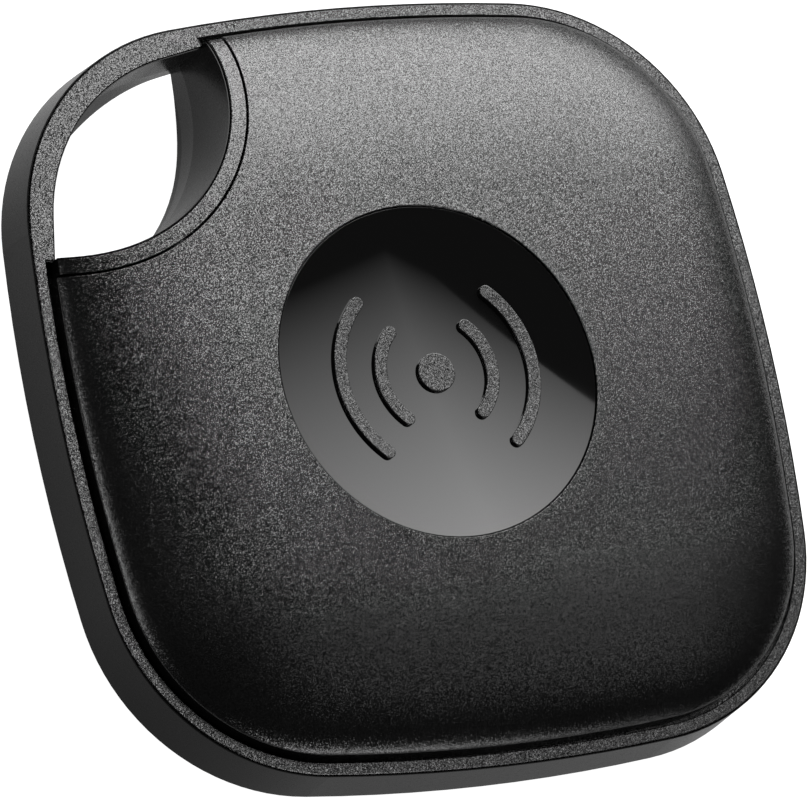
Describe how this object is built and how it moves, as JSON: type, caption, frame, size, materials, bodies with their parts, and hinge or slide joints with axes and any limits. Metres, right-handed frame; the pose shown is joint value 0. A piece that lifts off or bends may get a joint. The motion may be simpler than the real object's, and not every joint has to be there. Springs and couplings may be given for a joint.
{
  "type": "bluetooth tracker tag",
  "caption": "Flat rounded-square tracking tag with a key hole in one corner, a pillow-shaped front cover and a dished round press button in the middle.",
  "frame": {"origin": "middle of the flat back, centre of the outline", "axes": "+Z out of the button face; the key hole is in the corner at -X +Y"},
  "size_m": [0.038, 0.038, 0.0072],
  "materials": {
    "shell_satin": "smooth satin black moulding",
    "shell_grain": "fine sparkling grain on black moulding",
    "button_gloss": "polished black with a grained raised symbol",
    "silicone": "grey silicone",
    "foam": "fine black foam",
    "adhesive": "black bonding film",
    "seal": "dark red silicone bead",
    "carrier_plastic": "natural grey moulding",
    "board_mask": "green solder mask",
    "chip_epoxy": "black moulded epoxy",
    "crystal_lid": "bright lid",
    "ferrite": "dark ferrite",
    "capacitor_body": "tan ceramic",
    "resistor_body": "black glazed film",
    "copper": "bare copper",
    "gold": "gold flash",
    "cell_steel": "drawn stainless steel",
    "nylon": "dark nylon",
    "cathode_mix": "pressed black powder",
    "separator_felt": "white non-woven felt",
    "lithium": "soft grey metal",
    "nickel": "nickel strip",
    "sounder_brass": "rolled brass",
    "sounder_white": "fired ceramic with a silver electrode",
    "film": "amber polyimide film",
    "spring_steel": "polished spring steel"
  },
  "bodies": {
    "casing": {"rear_housing": "shell_satin", "rim_frame": "shell_grain", "front_cover": "shell_grain", "cover_glue_ring": "adhesive", "housing_seal": "seal", "button_foam_ring": "foam", "metal_dome": "spring_steel", "dome_film": "film", "switch_contacts": "gold", "main_board": "board_mask", "bluetooth_chip": "chip_epoxy", "memory_chip": "chip_epoxy", "sounder_driver_chip": "chip_epoxy", "main_crystal": "crystal_lid", "clock_crystal": "crystal_lid", "boost_inductor": "ferrite", "capacitors": "capacitor_body", "resistors": "resistor_body", "antenna_trace": "copper", "test_pads": "gold", "cell_can": "cell_steel", "cell_gasket": "nylon", "cell_cap": "cell_steel", "cell_cathode": "cathode_mix", "cell_separator": "separator_felt", "cell_lithium": "lithium", "negative_tab": "nickel", "positive_tab": "nickel", "sounder_glue_ring": "adhesive", "sounder_disc": "sounder_brass", "sounder_ceramic": "sounder_white", "sounder_disc_contact": "copper", "sounder_ceramic_contact": "copper", "inner_carrier": "carrier_plastic"},
    "button": {"button_cap": "button_gloss", "button_pusher": "silicone"}
  },
  "joints": [
    {"name": "button_press", "type": "slide", "parent": "casing", "child": "button", "axis": [0, 0, -1], "range_m": [0, 0.00022], "stiffness_N_per_m": 9000, "deforming": ["metal_dome", "button_foam_ring"]}
  ]
}
